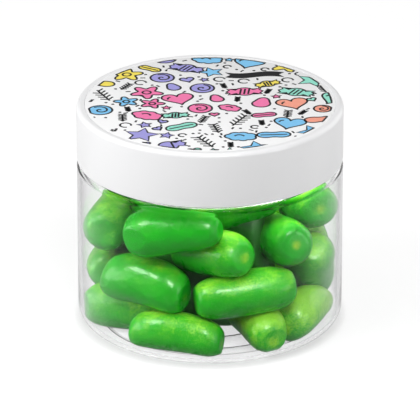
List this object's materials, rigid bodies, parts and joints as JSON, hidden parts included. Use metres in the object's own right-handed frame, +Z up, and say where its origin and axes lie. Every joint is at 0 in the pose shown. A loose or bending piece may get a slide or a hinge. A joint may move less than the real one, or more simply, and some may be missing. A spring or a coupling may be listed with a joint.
{
  "type": "jar of chewy candies",
  "caption": "Clear straight-sided jar with a white screw lid and a printed disc on top, filled with plump green chewy candies; stands on its foot ring.",
  "frame": {"origin": "middle of the jar's foot, on the surface that it stands on", "axes": "+Z up along the jar's axis, -Y towards the viewer of the picture, +X to their right"},
  "size_m": [0.071, 0.071, 0.0611],
  "materials": {
    "clear_plastic": "clear moulded PET, smooth and glossy",
    "white_plastic": "smooth white moulded plastic with a soft gloss",
    "printed_disc": "white printed film with black-lined doodles in pink, light blue, violet, mint, yellow and salmon",
    "green_candy": "soft chewy candy with a glossy sugar coat in mottled greens"
  },
  "bodies": {
    "root": {"jar": "clear_plastic", "lid": "white_plastic", "label": "printed_disc", "candies": "green_candy"}
  },
  "joints": []
}
